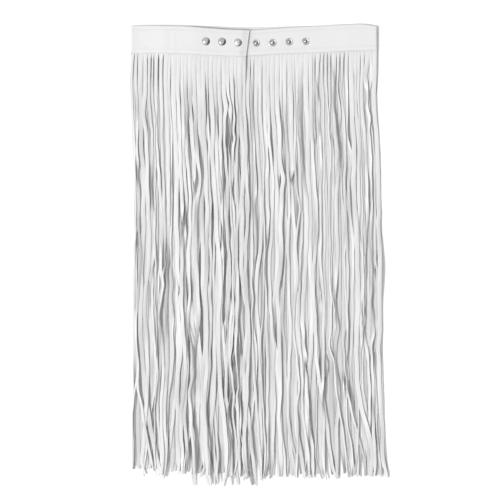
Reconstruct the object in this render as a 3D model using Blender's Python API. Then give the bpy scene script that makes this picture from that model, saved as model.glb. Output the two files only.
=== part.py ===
"""A white leather fringe skirt, snapped closed and laid flat on its back.

X runs across the skirt, Y up towards the waist, and Z up from the surface under it.
Tables and sizes are in millimetres, and the meshes are made in metres.
"""

import math
from collections import namedtuple

import bmesh
import bpy
import numpy as np

MM = 0.001

# Walls, and the gap between pieces that touch
BAND_WALL = 1.8
STRAND_WALL = 1.0
GAP = 0.3

# The waistband is one strip: the flap at the front, round the left fold, across the back,
# round the right fold, and along the front again as the underlap.
FOLD_RADIUS = 2.6
BAND_LEFT = -194.5
BAND_RIGHT = 176.0
FLAP_END = -15.8
FLAP_END_LEAN = -5.2
LEAN_START = -120.0
UNDERLAP_END = -131.0
BAND_STEP = 15.0
SLOPE_STEP = 4.0
FOLD_STEPS = 6

# From right to left the flap comes down off the studs onto the underlap, and then off its end
STUDS_LEFT = -90.0
OFF_STUDS = -108.0
OFF_UNDERLAP = -156.0

# Metal snaps: a domed cap on the flap, and a stud with a post on the underlap
CAP_RADIUS = 6.0
CAP_RIM = 0.6
CAP_HEIGHT = 2.6
CAP_SIDES = 20
DOME_STEPS = 4
STUD_RADIUS = 5.5
STUD_FLANGE = 0.6
STUD_HEIGHT = 2.6
POST_RADIUS = 2.8
POST_TOP_RADIUS = 2.2
STUD_BEVEL = 0.3
STUD_SIDES = 16
MERGE_DISTANCE = 0.01
SHARP_ANGLE = math.radians(40)

# Middle levels of the band's walls
BACK_LEVEL = BAND_WALL / 2
FOLD_LEVEL = BACK_LEVEL + FOLD_RADIUS
FRONT_LEVEL = FOLD_LEVEL + FOLD_RADIUS
LAP_LEVEL = FRONT_LEVEL + BAND_WALL + STRAND_WALL + 2 * GAP
FLAP_LEVEL = FRONT_LEVEL + BAND_WALL + STUD_HEIGHT + 2 * GAP

# Fringe: a heading tucked behind the band, and strands cut down from its lower edge
HEADING_TUCK = 8.0
HEADING_LIP = 2.0
HEADING_NECK = 0.4
HEADING_DROP = BAND_WALL / 2 + GAP + STRAND_WALL / 2
STRAND_WIDTHS = (4.8, 5.6)
STRAND_STATIONS = np.array([0, 0.045, 0.17, 0.3, 0.43, 0.56, 0.69, 0.8, 0.9, 1])
LOWEST_MIDDLE = GAP + STRAND_WALL / 2

# How the strands lie: they start side by side and wander more towards the hem
HOLD = 0.045
WANDER_FULL = 0.4
WANDER_END = 1.3
LEAN_SPREAD = 3.0
STRAY_SHARE = 0.08
STRAY_LEAN = 12.0
HEM_SPREAD = 1.5
SWAY_SIZES = (1.8, 0.8)
SWAY_LENGTHS = ((250.0, 450.0), (140.0, 220.0))
ROLL_SIZES = (0.16, 0.08)
ROLL_LENGTHS = ((260.0, 500.0), (120.0, 240.0))

# The grid of heights on which the strands are laid one over another
ROW_STEP = 2.5
COLUMN_STEP = 0.25
SIDE_MARGIN = 0.3
LAY_GAP = 0.35
ROOT_SHARE = 0.1
NEAR_SHARE = 0.02
SETTLE_SWEEPS = 12
TURN_SPREAD = 1.2
GRID_LEFT = -215.0
GRID_RIGHT = 215.0
GRID_TOP = 320.0
GRID_BOTTOM = -365.0

Edge = namedtuple("Edge", "x top bottom")
FLAP_EDGES = (
    Edge(-194.5, 343.8, 303.0),
    Edge(-180.0, 344.7, 302.9),
    Edge(-135.0, 344.2, 302.7),
    Edge(-112.0, 342.8, 301.8),
    Edge(-82.0, 340.5, 300.3),
    Edge(-52.0, 338.3, 298.9),
    Edge(-16.0, 337.0, 297.5),
)
FRONT_EDGES = (
    Edge(-131.0, 339.6, 301.0),
    Edge(-95.0, 338.3, 300.0),
    Edge(-52.0, 336.9, 298.7),
    Edge(-14.0, 337.2, 299.2),
    Edge(20.0, 339.7, 301.3),
    Edge(60.0, 342.2, 303.1),
    Edge(95.0, 343.8, 304.0),
    Edge(130.0, 345.6, 306.3),
    Edge(155.0, 346.2, 306.9),
    Edge(176.0, 342.8, 307.2),
)
BACK_EDGES = (
    Edge(-194.5, 344.0, 304.0),
    Edge(-90.0, 344.5, 304.5),
    Edge(-20.0, 342.0, 302.0),
    Edge(60.0, 343.6, 303.6),
    Edge(176.0, 343.0, 304.5),
)

Drift = namedtuple("Drift", "size across along")
DRIFTS = (
    Drift(1.7, 62.0, 540.0),
    Drift(1.1, 38.0, 400.0),
    Drift(0.7, 27.0, 270.0),
)

Side = namedtuple("Side", "y left right")
FRINGE_SIDES = (
    Side(-345.0, -195.5, 195.5),
    Side(-307.5, -193.5, 192.0),
    Side(-247.5, -194.5, 187.5),
    Side(-157.5, -191.0, 184.5),
    Side(-67.5, -192.0, 183.0),
    Side(22.5, -190.5, 183.0),
    Side(82.5, -189.8, 181.5),
    Side(142.5, -192.0, 180.0),
    Side(202.5, -193.5, 177.4),
    Side(262.5, -195.3, 175.6),
    Side(305.0, -194.2, 175.5),
)

Hem = namedtuple("Hem", "x y")
FLAP_HEM = (
    Hem(-194.0, -320.0),
    Hem(-180.0, -323.0),
    Hem(-165.0, -329.5),
    Hem(-130.0, -330.0),
    Hem(-105.0, -326.5),
    Hem(-60.0, -333.0),
    Hem(-20.0, -336.0),
)
FRONT_HEM = (
    Hem(-130.0, -327.0),
    Hem(-101.0, -325.0),
    Hem(-99.5, -345.5),
    Hem(-78.0, -340.5),
    Hem(-58.0, -345.0),
    Hem(-24.0, -344.5),
    Hem(-12.0, -336.5),
    Hem(35.0, -333.5),
    Hem(62.0, -337.0),
    Hem(85.0, -335.5),
    Hem(130.0, -329.0),
    Hem(160.0, -330.0),
    Hem(195.0, -332.5),
)
BACK_HEM = (
    Hem(-195.0, -317.0),
    Hem(-100.0, -322.0),
    Hem(0.0, -328.0),
    Hem(100.0, -326.0),
    Hem(195.0, -329.0),
)

# The fringes, in the order in which they lie on each other: how many strands, where the
# first and the last one start, where the heading ends on each side, and what they follow
Fringe = namedtuple("Fringe", "name strands first last tuck_left tuck_right edges hem seed")
FRINGES = (
    Fringe("fringe_back", 60, -191.25, 172.75, -190.5, 172.0, BACK_EDGES, BACK_HEM, 11),
    Fringe("fringe_front_right", 50, -128.0, 172.75, -130.4, 172.0, FRONT_EDGES, FRONT_HEM, 23),
    Fringe("fringe_front_left", 28, -191.25, -23.6, -190.5, -21.2, FLAP_EDGES, FLAP_HEM, 37),
)

Snap = namedtuple("Snap", "x y capped")
SNAPS = (
    Snap(-81.0, 320.2, True),
    Snap(-57.0, 319.8, True),
    Snap(-33.3, 318.3, True),
    Snap(-5.7, 317.9, False),
    Snap(18.9, 318.6, False),
    Snap(43.5, 319.8, False),
    Snap(68.2, 320.6, False),
)

Strand = namedtuple("Strand", "width root_x root_y hem_y sways rolls lean")

# A strand's long edges at its stations, and how far its right edge rises over its middle
Edges = namedtuple("Edges", "left right y rise")


def clear_scene():
    for thing in list(bpy.data.objects):
        bpy.data.objects.remove(thing, do_unlink=True)


def read(table, column, at):
    """A column's value at a place along the table, on a smooth curve through its rows."""
    places = np.array([row[0] for row in table])
    values = np.array([getattr(row, column) for row in table])
    slopes = np.gradient(values, places)
    at = np.clip(at, places[0], places[-1])
    row = np.clip(np.searchsorted(places, at) - 1, 0, len(places) - 2)
    run = places[row + 1] - places[row]
    u = (at - places[row]) / run
    v = 1 - u
    ends = v * v * (1 + 2 * u) * values[row] + u * u * (1 + 2 * v) * values[row + 1]
    return ends + u * v * run * (v * slopes[row] - u * slopes[row + 1])


def ease(share):
    share = np.clip(share, 0, 1)
    return share * share * (3 - 2 * share)


def flap_level(x):
    onto_underlap = ease((x - OFF_UNDERLAP) / (UNDERLAP_END - OFF_UNDERLAP))
    onto_studs = ease((x - OFF_STUDS) / (STUDS_LEFT - OFF_STUDS))
    level = FRONT_LEVEL + (LAP_LEVEL - FRONT_LEVEL) * onto_underlap
    return level + (FLAP_LEVEL - LAP_LEVEL) * onto_studs


def material(name, color, roughness, metallic=0.0):
    made = bpy.data.materials.new(name)
    made.use_nodes = True
    shader = made.node_tree.nodes["Principled BSDF"]
    shader.inputs["Base Color"].default_value = (*color, 1)
    shader.inputs["Roughness"].default_value = roughness
    shader.inputs["Metallic"].default_value = metallic
    made.diffuse_color = (*color, 1)
    return made


def mesh_object(name, points, faces, finish):
    mesh = bpy.data.meshes.new(name)
    mesh.from_pydata([tuple(MM * float(value) for value in point) for point in points], [], faces)
    mesh.materials.append(finish)
    made = bpy.data.objects.new(name, mesh)
    bpy.context.scene.collection.objects.link(made)
    return made


def band_path():
    """The band's stations in order from the flap's end: x, level, and the Y of both edges."""
    left = BAND_LEFT + BAND_WALL / 2 + FOLD_RADIUS
    right = BAND_RIGHT - BAND_WALL / 2 - FOLD_RADIUS
    path = []

    def run(start, end, edges, level, step=BAND_STEP):
        for x in np.linspace(start, end, 1 + math.ceil(abs(end - start) / step)):
            if not path or x != path[-1][0]:
                path.append((x, level(x), read(edges, "top", x), read(edges, "bottom", x)))

    def fold(centre, start_angle, turn, edges, next_edges):
        for step in range(1, FOLD_STEPS):
            share = step / FOLD_STEPS
            angle = start_angle + turn * share
            x = centre + FOLD_RADIUS * math.cos(angle)
            ends = [
                (1 - ease(share)) * read(edges, column, centre)
                + ease(share) * read(next_edges, column, centre)
                for column in ("top", "bottom")
            ]
            path.append((x, FOLD_LEVEL + FOLD_RADIUS * math.sin(angle), *ends))

    run(FLAP_END, STUDS_LEFT, FLAP_EDGES, flap_level)
    run(STUDS_LEFT, OFF_UNDERLAP, FLAP_EDGES, flap_level, SLOPE_STEP)
    run(OFF_UNDERLAP, left, FLAP_EDGES, flap_level)
    fold(left, math.pi / 2, math.pi, FLAP_EDGES, BACK_EDGES)
    run(left, right, BACK_EDGES, lambda x: BACK_LEVEL)
    fold(right, -math.pi / 2, math.pi, BACK_EDGES, FRONT_EDGES)
    run(right, UNDERLAP_END, FRONT_EDGES, lambda x: FRONT_LEVEL)
    return np.array(path)


def waistband(finish):
    path = band_path()
    direction = np.gradient(path[:, :2], axis=0)
    direction /= np.linalg.norm(direction, axis=1, keepdims=True)
    outward = np.stack([direction[:, 1], -direction[:, 0]], axis=1) * BAND_WALL / 2
    # The flap's end is cut on a slant, which fades out along the flap.
    flap_stations = 1 + int(np.argmin(path[:, 0]))
    slant = np.zeros(len(path))
    slant[:flap_stations] = FLAP_END_LEAN * np.clip(
        (path[:flap_stations, 0] - LEAN_START) / (FLAP_END - LEAN_START), 0, 1
    )
    points = []
    for (x, z, top, bottom), (out_x, out_z), lean in zip(path, outward, slant):
        points += [
            (x + out_x, top, z + out_z),
            (x + out_x + lean, bottom, z + out_z),
            (x - out_x + lean, bottom, z - out_z),
            (x - out_x, top, z - out_z),
        ]
    faces = [(0, 1, 2, 3)]
    for station in range(len(path) - 1):
        here, there = 4 * station, 4 * station + 4
        for corner in range(4):
            after = (corner + 1) % 4
            faces.append((here + corner, there + corner, there + after, here + after))
    faces.append((there + 3, there + 2, there + 1, there))
    return mesh_object("waistband", points, faces, finish)


def heading_level(fringe, x):
    """The level at which the heading lies, on the inner side of its stretch of the band."""
    if fringe.edges is BACK_EDGES:
        return BACK_LEVEL + HEADING_DROP
    if fringe.edges is FRONT_EDGES:
        return FRONT_LEVEL - HEADING_DROP
    return flap_level(x) - HEADING_DROP


def waves(sizes, lengths, draws):
    """Sine waves as (size, length, phase), each with its length and phase drawn at random."""
    return [
        (size, draws.uniform(*limits), draws.uniform(0, 2 * math.pi))
        for size, limits in zip(sizes, lengths)
    ]


def cut_strands(fringe, draws):
    strands = []
    for root_x in np.linspace(fringe.first, fringe.last, fringe.strands):
        width = draws.uniform(*STRAND_WIDTHS)
        sways = waves(SWAY_SIZES, SWAY_LENGTHS, draws)
        rolls = waves(ROLL_SIZES, ROLL_LENGTHS, draws)
        lean = draws.normal(0, LEAN_SPREAD)
        if draws.uniform() < STRAY_SHARE:
            lean += STRAY_LEAN * draws.choice((-1, 1))
        root_y = read(fringe.edges, "bottom", root_x) - HEADING_LIP
        hem_y = np.interp(root_x, *zip(*fringe.hem)) + draws.normal(0, HEM_SPREAD)
        strands.append(Strand(width, root_x, root_y, hem_y, sways, rolls, lean))
    return strands


def drift(x, y, phases):
    """Sideways shift that neighbouring strands share, so that they gather and part."""
    return sum(
        one.size * np.sin(2 * math.pi * x / one.across + phase[0])
        * np.sin(2 * math.pi * y / one.along + phase[1])
        for one, phase in zip(DRIFTS, phases)
    )


def lay_out(strand, phases, t):
    """The strand's middle line and its roll at shares t of its length: x, y and angle."""
    y = strand.root_y + (strand.hem_y - strand.root_y) * t
    down = strand.root_y - y
    half = strand.width / 2
    left = read(FRINGE_SIDES, "left", y) + half
    right = read(FRINGE_SIDES, "right", y) - half
    root_left = read(FRINGE_SIDES, "left", strand.root_y) + half
    root_right = read(FRINGE_SIDES, "right", strand.root_y) - half
    share = np.clip((strand.root_x - root_left) / (root_right - root_left), 0, 1)
    from_root = strand.root_x - (root_left + share * (root_right - root_left))
    straight = left + share * (right - left) + from_root
    freedom = ease((t - HOLD) / (WANDER_FULL - HOLD))
    freedom *= 1 + (WANDER_END - 1) * ease((t - WANDER_FULL) / (1 - WANDER_FULL))
    sway = sum(
        size * np.sin(2 * math.pi * down / length + phase)
        for size, length, phase in strand.sways
    )
    roll = sum(
        size * np.sin(2 * math.pi * down / length + phase)
        for size, length, phase in strand.rolls
    )
    shift = freedom * (drift(straight, y, phases) + sway) + strand.lean * t * t
    x = np.clip(straight + shift, np.minimum(left, straight), np.maximum(right, straight))
    return x, y, freedom * roll


class Pile:
    """Heights of the strands laid so far, over a grid."""

    def __init__(self):
        self.rows = np.arange(GRID_TOP, GRID_BOTTOM, -ROW_STEP)
        self.columns = np.arange(GRID_LEFT, GRID_RIGHT, COLUMN_STEP)
        self.height = np.zeros((len(self.rows), len(self.columns)))

    def sections(self, edges, margin):
        """The strand's section in each row it crosses.

        Each is the row, the station above it, the share of the way to the next, the slice
        of columns, and there the surface's height over the strand's middle line.
        """
        y = edges.y
        for row in np.flatnonzero((self.rows < y[0]) & (self.rows > y[-1] - ROW_STEP)):
            after = min(int(np.searchsorted(-y, -self.rows[row])), len(y) - 1)
            here = after - 1
            share = min((y[here] - self.rows[row]) / (y[here] - y[after]), 1.0)
            # Each stretch is two triangles, which meet along a line from left to right.
            x = [
                edges.left[here] + share * (edges.left[after] - edges.left[here]),
                edges.left[here] + share * (edges.right[after] - edges.left[here]),
                edges.right[here] + share * (edges.right[after] - edges.right[here]),
            ]
            tilt = [
                -edges.rise[here] + share * (edges.rise[here] - edges.rise[after]),
                -edges.rise[here] + share * (edges.rise[here] + edges.rise[after]),
                edges.rise[here] + share * (edges.rise[after] - edges.rise[here]),
            ]
            side = margin if here else 0
            low = np.searchsorted(self.columns, x[0] - side)
            high = np.searchsorted(self.columns, x[2] + side)
            columns = slice(low, high)
            yield row, here, share, columns, np.interp(self.columns[columns], x, tilt)

    def settle(self, edges, root_level):
        """The lowest levels of the stations that clear what lies below.

        They start at the highest need near each station, and sink as far as the needs allow.
        """
        needs = [[] for _ in edges.y]
        for row, here, share, columns, tilt in self.sections(edges, SIDE_MARGIN):
            if here or share > ROOT_SHARE:
                need = np.max(self.height[row, columns] - tilt) + LAY_GAP + STRAND_WALL / 2
                needs[here].append((share, need))
        needs = [np.array(stretch).reshape(-1, 2).T for stretch in needs]
        lowest = LOWEST_MIDDLE + np.abs(edges.rise)
        levels = lowest.copy()
        levels[0] = root_level
        for station in range(1, len(levels)):
            share, need = needs[station - 1]
            if station == 1:
                need = (need - (1 - share) * root_level) / share
            levels[station] = max([lowest[station], *need, *needs[station][1]])
        for _ in range(SETTLE_SWEEPS):
            for station in range(1, len(levels)):
                floor = lowest[station]
                share, need = needs[station - 1]
                near = share > NEAR_SHARE
                if near.any():
                    held = need[near] - (1 - share[near]) * levels[station - 1]
                    floor = max(floor, np.max(held / share[near]))
                share, need = needs[station]
                near = share < 1 - NEAR_SHARE
                if near.any():
                    held = need[near] - share[near] * levels[station + 1]
                    floor = max(floor, np.max(held / (1 - share[near])))
                levels[station] = min(levels[station], (levels[station] + floor) / 2)
        return levels

    def add(self, edges, levels):
        for row, here, share, columns, tilt in self.sections(edges, 0):
            middle = levels[here] + share * (levels[here + 1] - levels[here])
            top = middle + tilt + STRAND_WALL / 2
            self.height[row, columns] = np.maximum(self.height[row, columns], top)


def strand_edges(fringe, strand, phases):
    """The strand's two long edges at its stations, and how far its right edge rises."""
    x, y, roll = lay_out(strand, phases, STRAND_STATIONS)
    half = strand.width / 2
    reach = half * np.cos(roll)
    edges = Edges(x - reach, x + reach, y, half * np.sin(roll))
    # At its root the strand slopes as the heading does.
    slope = heading_level(fringe, edges.right[0]) - heading_level(fringe, edges.left[0])
    edges.rise[0] = slope / 2
    return edges


def fringe_mesh(fringe, edges_of, levels_of, finish):
    """One closed comb: a heading, and the strands cut down from it.

    Every point of the outline is a pair, on the upper and on the lower face.
    """
    points = []
    faces = []

    def pair(x, y, level):
        points.append((x, y, level + STRAND_WALL / 2))
        points.append((x, y, level - STRAND_WALL / 2))
        return len(points) - 2

    def plate(*corners):
        faces.append(corners)
        faces.append(tuple(corner + 1 for corner in reversed(corners)))

    def wall(start, end):
        faces.append((start, start + 1, end + 1, end))

    def heading_pair(x, above_edge):
        inside = float(np.clip(x, fringe.tuck_left, fringe.tuck_right))
        edge_y = read(fringe.edges, "bottom", inside)
        return pair(inside, edge_y + above_edge, heading_level(fringe, inside))

    tucks = []
    roots = []
    for edges, levels in zip(edges_of, levels_of):
        for x, rise in ((edges.left[0], -edges.rise[0]), (edges.right[0], edges.rise[0])):
            tucks.append(heading_pair(x, HEADING_TUCK))
            roots.append(pair(x, edges.y[0], levels[0] + rise))
        left, right = roots[-2:]
        for station in range(1, len(edges.y)):
            rise = edges.rise[station]
            next_left = pair(edges.left[station], edges.y[station], levels[station] - rise)
            next_right = pair(edges.right[station], edges.y[station], levels[station] + rise)
            plate(left, next_left, next_right)
            plate(left, next_right, right)
            wall(left, next_left)
            wall(next_right, right)
            left, right = next_left, next_right
        wall(left, right)

    left_neck = heading_pair(fringe.tuck_left, -HEADING_NECK)
    right_neck = heading_pair(fringe.tuck_right, -HEADING_NECK)
    last = len(roots) - 1
    for column in range(last):
        corners = [tucks[column], roots[column], roots[column + 1], tucks[column + 1]]
        if column == 0:
            corners.insert(1, left_neck)
        if column == last - 1:
            corners.insert(-1, right_neck)
        plate(*corners)
        wall(tucks[column + 1], tucks[column])
        if column % 2:
            wall(roots[column], roots[column + 1])
    wall(tucks[0], left_neck)
    wall(left_neck, roots[0])
    wall(roots[last], right_neck)
    wall(right_neck, tucks[last])
    return mesh_object(fringe.name, points, faces, finish)


def make_fringes(finish):
    pile = Pile()
    made = []
    for fringe in FRINGES:
        draws = np.random.default_rng(fringe.seed)
        phases = draws.uniform(0, 2 * math.pi, (len(DRIFTS), 2))
        strands = cut_strands(fringe, draws)
        edges_of = [strand_edges(fringe, strand, phases) for strand in strands]
        levels_of = [None] * len(strands)
        # Mostly every other strand lies below, and the ones between lie on them.
        turns = np.arange(len(strands)) % 2 + draws.uniform(0, TURN_SPREAD, len(strands))
        for index in np.argsort(turns):
            edges = edges_of[index]
            ends = heading_level(fringe, np.array([edges.left[0], edges.right[0]]))
            levels_of[index] = pile.settle(edges, np.mean(ends))
            pile.add(edges, levels_of[index])
        made.append(fringe_mesh(fringe, edges_of, levels_of, finish))
    return made


def turned(name, profile, sides, finish):
    """A solid of revolution about Z, from (radius, height) points that end on the axis."""
    shape = bmesh.new()
    ring = [shape.verts.new((radius * MM, 0, height * MM)) for radius, height in profile]
    outline = [shape.edges.new(ends) for ends in zip(ring, ring[1:])]
    bmesh.ops.spin(
        shape, geom=ring + outline, axis=(0, 0, 1), cent=(0, 0, 0), angle=2 * math.pi,
        steps=sides, use_merge=True,
    )
    bmesh.ops.remove_doubles(shape, verts=shape.verts, dist=MERGE_DISTANCE * MM)
    bmesh.ops.recalc_face_normals(shape, faces=shape.faces)
    mesh = bpy.data.meshes.new(name)
    shape.to_mesh(mesh)
    shape.free()
    mesh.materials.append(finish)
    mesh.shade_smooth()
    mesh.set_sharp_from_angle(angle=SHARP_ANGLE)
    made = bpy.data.objects.new(name, mesh)
    bpy.context.scene.collection.objects.link(made)
    return made


def snap_cap(name, finish):
    dome = [
        (
            CAP_RADIUS * math.cos(0.5 * math.pi * step / DOME_STEPS),
            CAP_RIM + (CAP_HEIGHT - CAP_RIM) * math.sin(0.5 * math.pi * step / DOME_STEPS),
        )
        for step in range(DOME_STEPS)
    ]
    return turned(name, [(0, 0), (CAP_RADIUS, 0), *dome, (0, CAP_HEIGHT)], CAP_SIDES, finish)


def snap_stud(name, finish):
    profile = [
        (0, 0),
        (STUD_RADIUS, 0),
        (STUD_RADIUS, STUD_FLANGE),
        (POST_RADIUS, STUD_FLANGE + STUD_BEVEL),
        (POST_RADIUS, STUD_HEIGHT - STUD_BEVEL),
        (POST_TOP_RADIUS, STUD_HEIGHT),
        (0, STUD_HEIGHT),
    ]
    return turned(name, profile, STUD_SIDES, finish)


def make_snaps(finish):
    made = []
    for number, snap in enumerate(SNAPS, start=1):
        stud = snap_stud(f"snap_stud_{number}", finish)
        stud_foot = FRONT_LEVEL + BAND_WALL / 2 + GAP
        stud.location = (snap.x * MM, snap.y * MM, stud_foot * MM)
        made.append(stud)
        if snap.capped:
            cap = snap_cap(f"snap_cap_{number}", finish)
            cap_foot = FLAP_LEVEL + BAND_WALL / 2 + GAP
            cap.location = (snap.x * MM, snap.y * MM, cap_foot * MM)
            made.append(cap)
    return made


def centre_on_origin(pieces):
    """Hangs the pieces on an empty that puts the middle of their outline at the origin."""
    corners = np.array([
        piece.location[:] + np.array(vertex.co)
        for piece in pieces
        for vertex in piece.data.vertices
    ])
    middle = (corners.min(axis=0) + corners.max(axis=0)) / 2
    holder = bpy.data.objects.new("skirt", None)
    bpy.context.scene.collection.objects.link(holder)
    holder.location = (-middle[0], -middle[1], -corners[:, 2].min())
    for piece in pieces:
        piece.parent = holder


def main():
    clear_scene()
    band_leather = material("white band leather", (0.86, 0.86, 0.85), 0.5)
    fringe_leather = material("white fringe leather", (0.84, 0.84, 0.82), 0.6)
    snap_metal = material("bright snap metal", (0.72, 0.71, 0.7), 0.25, metallic=1.0)
    pieces = [waistband(band_leather)]
    pieces += make_fringes(fringe_leather)
    pieces += make_snaps(snap_metal)
    centre_on_origin(pieces)


if __name__ == "__main__":
    main()
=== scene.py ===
"""A white leather fringe skirt, snapped closed and laid flat on its back.

X runs across the skirt, Y up towards the waist, and Z up from the surface under it.
Tables and sizes are in millimetres, and the meshes are made in metres.
"""

import math
from collections import namedtuple
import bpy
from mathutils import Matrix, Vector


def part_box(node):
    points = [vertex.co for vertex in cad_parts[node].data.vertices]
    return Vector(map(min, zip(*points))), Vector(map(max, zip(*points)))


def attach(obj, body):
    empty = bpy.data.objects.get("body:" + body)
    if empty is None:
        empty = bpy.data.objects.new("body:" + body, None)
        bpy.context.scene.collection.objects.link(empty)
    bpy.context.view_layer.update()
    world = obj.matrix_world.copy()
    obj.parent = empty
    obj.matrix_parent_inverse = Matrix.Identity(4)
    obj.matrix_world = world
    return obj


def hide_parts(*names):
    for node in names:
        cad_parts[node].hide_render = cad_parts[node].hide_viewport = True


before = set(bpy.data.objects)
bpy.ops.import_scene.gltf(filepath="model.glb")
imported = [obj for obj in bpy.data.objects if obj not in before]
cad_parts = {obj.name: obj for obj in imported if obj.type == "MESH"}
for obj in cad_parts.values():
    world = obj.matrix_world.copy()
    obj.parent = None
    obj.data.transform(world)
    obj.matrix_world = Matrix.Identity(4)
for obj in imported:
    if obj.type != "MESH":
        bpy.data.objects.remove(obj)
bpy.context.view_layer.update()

from types import SimpleNamespace

import bpy
import numpy as np
from mathutils import Vector

MM = 0.001

# Walls, levels and the run of the band, as in the solids
BAND_WALL = 1.8
STRAND_WALL = 1.0
GAP = 0.3
FOLD_RADIUS = 2.6
BAND_LEFT = -194.5
BAND_RIGHT = 176.0
FLAP_END = -15.8
FLAP_END_LEAN = -5.2
LEAN_START = -120.0
UNDERLAP_END = -131.0
ONTO_UNDERLAP = (-183.0, -141.0)
ONTO_STUDS = (-129.0, -97.0)
DROOP_FROM = -28.0
FLAP_DROOP = 1.5
STUD_HEIGHT = 2.6
BACK_LEVEL = BAND_WALL / 2
FOLD_LEVEL = BACK_LEVEL + FOLD_RADIUS
FRONT_LEVEL = FOLD_LEVEL + FOLD_RADIUS
LAP_LEVEL = FRONT_LEVEL + BAND_WALL + STRAND_WALL + 2 * GAP
FLAP_LEVEL = FRONT_LEVEL + BAND_WALL + STUD_HEIGHT + 2 * GAP

# Steps along the band, and stitching: pitch, thread and where the rows run
STITCH_PITCH = 4.2
BAND_STEP = STITCH_PITCH / 4
FOLD_STEPS = 20
FOLD_SQUARE = 0.5
STITCH_LENGTH = 3.1
THREAD_RADIUS = 0.26
LOWER_ROW = 6.5
UPPER_ROW = 5.4
GROOVE_DEPTH = 0.42
GROOVE_WIDTH = 0.75
HOLE_WIDTH = 0.7
HOLE_TONE = 2.0
FIBRE_SHADE = 0.82

# Fringe: the heading and the strands cut down from it
HEADING_TUCK = 8.0
HEADING_LIP = 0.8
HEADING_NECK = 0.6
HEADING_DROP = BAND_WALL / 2 + GAP + STRAND_WALL / 2
CUT_SPREAD = 0.8
CUT_LIMIT = 1.7
SLIT = 0.1
OPEN_MEAN = 0.6
OPEN_MOST = 2.8
NARROWEST = 2.2
OPEN_OVER = (70.0, 210.0)
EARLY_OVER = (5.0, 22.0)
EARLY_SHARE = 0.1
EARLY_MORE = 2.6
EARLY_POWER = 1.5
EARLY_STRETCHES = ((-196.0, -141.0), (80.0, 136.0))
NEVER_EARLY = (20.0, 80.0)
CLOSED_STRETCH = (-134.0, -84.0)
CLOSED_SHARE = 0.4
NARROWING = 0.06
NARROW_FULL = 120.0
OUTER_HALF = 2.7
TURN_SPREAD = 1.2

# How the strands lie: neighbours hang in groups, and each also moves a little by itself
HOLD = 2.0
HOLD_FULL = 60.0
LEAN_SPREAD = 4.0
STRAY_SHARE = 0.14
STRAY_LEAN = 12.0
HEM_SPREAD = 1.5
MORE_SEED = 100
UPPER_GROUPS = (1, 4)
UPPER_WAVES = ((0.7, 220.0, 420.0), (0.4, 110.0, 200.0))
UPPER_FULL = 70.0
UPPER_FADE = 0.5
FADE_FROM = 0.4
FADE_OVER = 0.5
LOWER_GROUPS = (1, 3)
LOWER_WAVES = ((2.1, 240.0, 420.0), (1.0, 120.0, 200.0))
LOWER_FROM = 0.1
LOWER_FULL = 0.65
SWAY_WAVES = ((0.9, 160.0, 300.0), (0.6, 80.0, 140.0), (0.3, 32.0, 60.0))
SWAY_FULL = 110.0
ROLL_GROWTH = (0.5, 0.7)
ROLL_WAVES = ((0.13, 220.0, 420.0), (0.08, 100.0, 200.0))
CURLS = 3
CURL_PLACES = (0.08, 1.0)
CURLY_SHARE = 0.28
CURLY_MORE = 4
CURL_REACH = (14.0, 60.0)
CURL_ANGLE = (0.05, 0.35)
CURLY_ANGLE = (0.35, 1.2)
END_CURL_SHARE = 0.5
END_CURL_ANGLE = (0.5, 1.2)
END_CURL_REACH = (18.0, 40.0)
TWIST_SHARE = 0.16
TWIST_PLACES = (0.25, 0.9)
TWIST_REACH = (45.0, 90.0)
CUP_MEAN = 0.02
CUP_SPREAD = 0.16
CUP_GROWTH = (0.6, 0.7)
CUP_WAVES = ((0.15, 70.0, 200.0),)
END_SLANT = 0.2
TAPER = (0.1, 0.68)
TAPER_REACH = 26.0
HOOKED_SHARE = 0.6
HOOK_SIZE = (1.5, 8.0)
HOOK_REACH = (22.0, 60.0)
KINKED_SHARE = 0.42
KINK_COUNTS = (1, 5)
KINKS = ((0.1, 0.98), (14.0, 32.0), (0.8, 3.8))
BACK_CALM = 0.12
GATHER_FROM = 0.7
GATHER_POWER = 1.6
GATHERED = (2, 5)
GATHER_SHARE = (0.1, 0.75)
GATHER_SHIFT = 2.5
LATE_SHARE = 0.24
LATE_LEAN = (6.0, 26.0)
# Painted shade along each strand's two edges, for the dark lines between strands: its strength, its share
# at the root, and its waves along the strand
RIM_SHADE = (0.2, 1.05)
RIM_AT_ROOT = 0.3
RIM_WAVES = ((0.45, 90.0, 220.0), (0.3, 40.0, 90.0))

# The grid of heights on which the strands are laid one over another
ROW_STEP = 2.5
END_MARGIN = 0.5
COLUMN_STEP = 0.25
GRID_LEFT = -215.0
GRID_RIGHT = 215.0
GRID_TOP = 320.0
GRID_BOTTOM = -365.0
LAY_GAP = 0.08
DROOP = 0.0035
BACK_DROOP = 0.03
FREE_DROOP = 0.0014
LAID_DROOP = 0.012
ROOT_TURN = 15.0
ROOT_FREE = 8.0
ROOT_BLEND = 6.0
SETTLE_BLUR = 4.0
LEAN_BLUR = 9.0
LEAN_LIMIT = 0.26
LEAN_SPAN = 1.8
LEAN_SHARE = 0.65

# A strand's section as shares of half its width: its points, where it feels for what is below,
# and where it marks its own height
MESH_EVERY = 2
SECTION = np.array([-1.0, -0.84, 0.0, 0.84, 1.0])
SECTION_EDGE = 0.9
SHOULDER = 0.13
STRAND_SHARP_FROM = math.radians(45)
FEELERS = np.linspace(-0.94, 0.94, 15)
PRINTS = np.linspace(-0.98, 0.98, 27)


def table(kind, *rows):
    return [kind(*row) for row in rows]


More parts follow.
